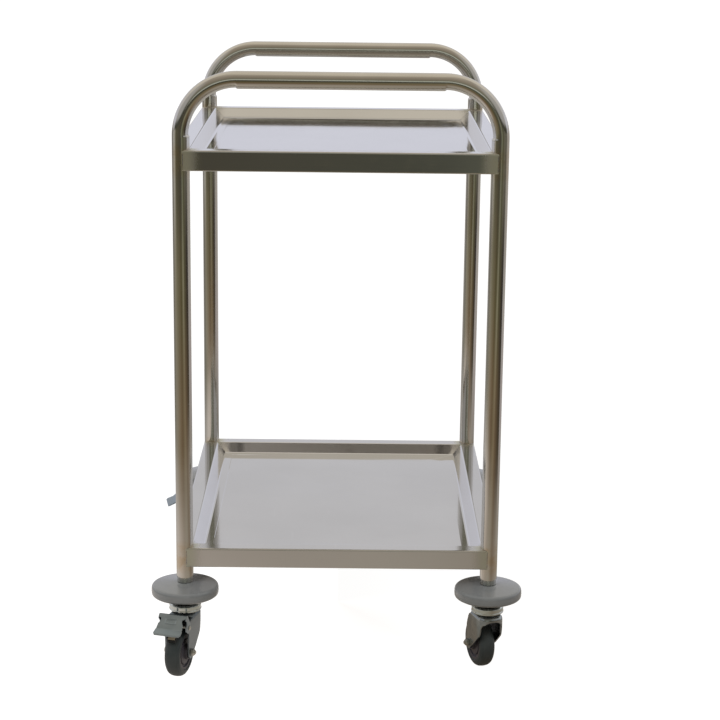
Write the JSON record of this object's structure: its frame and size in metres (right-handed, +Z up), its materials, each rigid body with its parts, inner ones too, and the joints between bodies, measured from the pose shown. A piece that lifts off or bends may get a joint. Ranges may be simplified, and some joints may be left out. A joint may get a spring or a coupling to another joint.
{
  "type": "instrument cart",
  "caption": "Tubular stainless instrument cart with sunken-floor shelves, handle tubes at both ends, round bumpers and swivel casters, those on the left with foot brakes.",
  "frame": {"origin": "on the floor, in the middle of the footprint box with the casters as they stand at rest; the frame's own middle is 16 mm further to +X and to +Y", "axes": "+Z up, +X to the right of someone facing the front handle, -Y the front; the handle bars run along X"},
  "size_m": [0.5885, 0.7085, 0.8996],
  "materials": {
    "stainless_tube": "satin polished stainless tube",
    "tray_sheet": "mirror-like stainless sheet, slightly uneven",
    "bright_plate": "bright zinc-nickel plate",
    "zinc_plate": "zinc plated steel",
    "fork_plate": "blue-grey zinc plated pressed steel",
    "grey_vinyl": "soft grey vinyl, semi-gloss",
    "grey_rubber": "dark grey thermoplastic rubber",
    "hub_plastic": "dark moulded polypropylene",
    "black_plastic": "black moulded plastic"
  },
  "bodies": {
    "cart_frame": {"front_frame_tube": "stainless_tube", "rear_frame_tube": "stainless_tube", "upper_tray": "tray_sheet", "lower_tray": "tray_sheet", "upper_tray_stiffener": "stainless_tube", "lower_tray_stiffener": "stainless_tube", "front_left_leg_plug": "zinc_plate", "front_left_bumper": "grey_vinyl", "front_left_stem": "zinc_plate", "front_left_swivel_head": "bright_plate", "front_left_dust_seal": "black_plastic", "front_right_leg_plug": "zinc_plate", "front_right_bumper": "grey_vinyl", "front_right_stem": "zinc_plate", "front_right_swivel_head": "bright_plate", "front_right_dust_seal": "black_plastic", "rear_left_leg_plug": "zinc_plate", "rear_left_bumper": "grey_vinyl", "rear_left_stem": "zinc_plate", "rear_left_swivel_head": "bright_plate", "rear_left_dust_seal": "black_plastic", "rear_right_leg_plug": "zinc_plate", "rear_right_bumper": "grey_vinyl", "rear_right_stem": "zinc_plate", "rear_right_swivel_head": "bright_plate", "rear_right_dust_seal": "black_plastic"},
    "front_left_swivel": {"front_left_ball_ring": "zinc_plate", "front_left_fork": "fork_plate", "front_left_axle_bolt": "zinc_plate", "front_left_axle_nut": "zinc_plate", "front_left_axle_sleeve": "zinc_plate", "front_left_pedal_pin": "zinc_plate"},
    "front_left_wheel": {"front_left_hub": "hub_plastic", "front_left_tyre": "grey_rubber"},
    "front_left_pedal": {"front_left_brake_pedal": "fork_plate"},
    "front_left_shoe": {"front_left_brake_shoe": "black_plastic"},
    "front_right_swivel": {"front_right_ball_ring": "zinc_plate", "front_right_fork": "fork_plate", "front_right_axle_bolt": "zinc_plate", "front_right_axle_nut": "zinc_plate", "front_right_axle_sleeve": "zinc_plate"},
    "front_right_wheel": {"front_right_hub": "hub_plastic", "front_right_tyre": "grey_rubber"},
    "rear_left_swivel": {"rear_left_ball_ring": "zinc_plate", "rear_left_fork": "fork_plate", "rear_left_axle_bolt": "zinc_plate", "rear_left_axle_nut": "zinc_plate", "rear_left_axle_sleeve": "zinc_plate", "rear_left_pedal_pin": "zinc_plate"},
    "rear_left_wheel": {"rear_left_hub": "hub_plastic", "rear_left_tyre": "grey_rubber"},
    "rear_left_pedal": {"rear_left_brake_pedal": "fork_plate"},
    "rear_left_shoe": {"rear_left_brake_shoe": "black_plastic"},
    "rear_right_swivel": {"rear_right_ball_ring": "zinc_plate", "rear_right_fork": "fork_plate", "rear_right_axle_bolt": "zinc_plate", "rear_right_axle_nut": "zinc_plate", "rear_right_axle_sleeve": "zinc_plate"},
    "rear_right_wheel": {"rear_right_hub": "hub_plastic", "rear_right_tyre": "grey_rubber"}
  },
  "joints": [
    {"name": "front_left_swivel_turn", "type": "hinge", "parent": "cart_frame", "child": "front_left_swivel", "pos_m": [-0.2113, -0.2713, 0.1], "axis": [0, 0, 1], "continuous": true},
    {"name": "front_left_wheel_spin", "type": "hinge", "parent": "front_left_swivel", "child": "front_left_wheel", "pos_m": [-0.2186, -0.29677, 0.03775], "axis": [0.9613, -0.2756, 0], "continuous": true},
    {"name": "front_left_pedal_press", "type": "hinge", "parent": "front_left_swivel", "child": "front_left_pedal", "pos_m": [-0.2226, -0.31071, 0.082], "axis": [0.9613, -0.2756, 0], "range_deg": [0, 16]},
    {"name": "front_left_shoe_press", "type": "hinge", "parent": "front_left_swivel", "child": "front_left_shoe", "pos_m": [-0.2226, -0.31071, 0.082], "axis": [0.9613, -0.2756, 0], "range_deg": [0, 4.6]},
    {"name": "front_right_swivel_turn", "type": "hinge", "parent": "cart_frame", "child": "front_right_swivel", "pos_m": [0.2433, -0.2713, 0.1], "axis": [0, 0, 1], "continuous": true},
    {"name": "front_right_wheel_spin", "type": "hinge", "parent": "front_right_swivel", "child": "front_right_wheel", "pos_m": [0.23533, -0.24603, 0.03775], "axis": [-0.9537, -0.3007, 0], "continuous": true},
    {"name": "rear_left_swivel_turn", "type": "hinge", "parent": "cart_frame", "child": "rear_left_swivel", "pos_m": [-0.2113, 0.3033, 0.1], "axis": [0, 0, 1], "continuous": true},
    {"name": "rear_left_wheel_spin", "type": "hinge", "parent": "rear_left_swivel", "child": "rear_left_wheel", "pos_m": [-0.2374, 0.2987, 0.03775], "axis": [0.1736, -0.9848, 0], "continuous": true},
    {"name": "rear_left_pedal_press", "type": "hinge", "parent": "rear_left_swivel", "child": "rear_left_pedal", "pos_m": [-0.25168, 0.29618, 0.082], "axis": [0.1736, -0.9848, 0], "range_deg": [0, 16]},
    {"name": "rear_left_shoe_press", "type": "hinge", "parent": "rear_left_swivel", "child": "rear_left_shoe", "pos_m": [-0.25168, 0.29618, 0.082], "axis": [0.1736, -0.9848, 0], "range_deg": [0, 4.6]},
    {"name": "rear_right_swivel_turn", "type": "hinge", "parent": "cart_frame", "child": "rear_right_swivel", "pos_m": [0.2433, 0.3033, 0.1], "axis": [0, 0, 1], "continuous": true},
    {"name": "rear_right_wheel_spin", "type": "hinge", "parent": "rear_right_swivel", "child": "rear_right_wheel", "pos_m": [0.26204, 0.32204, 0.03775], "axis": [-0.7071, 0.7071, 0], "continuous": true}
  ],
  "couplings": [
    {"joint": "front_left_shoe_press", "follows": "front_left_pedal_press", "ratio": 0.28},
    {"joint": "rear_left_shoe_press", "follows": "rear_left_pedal_press", "ratio": 0.28}
  ]
}
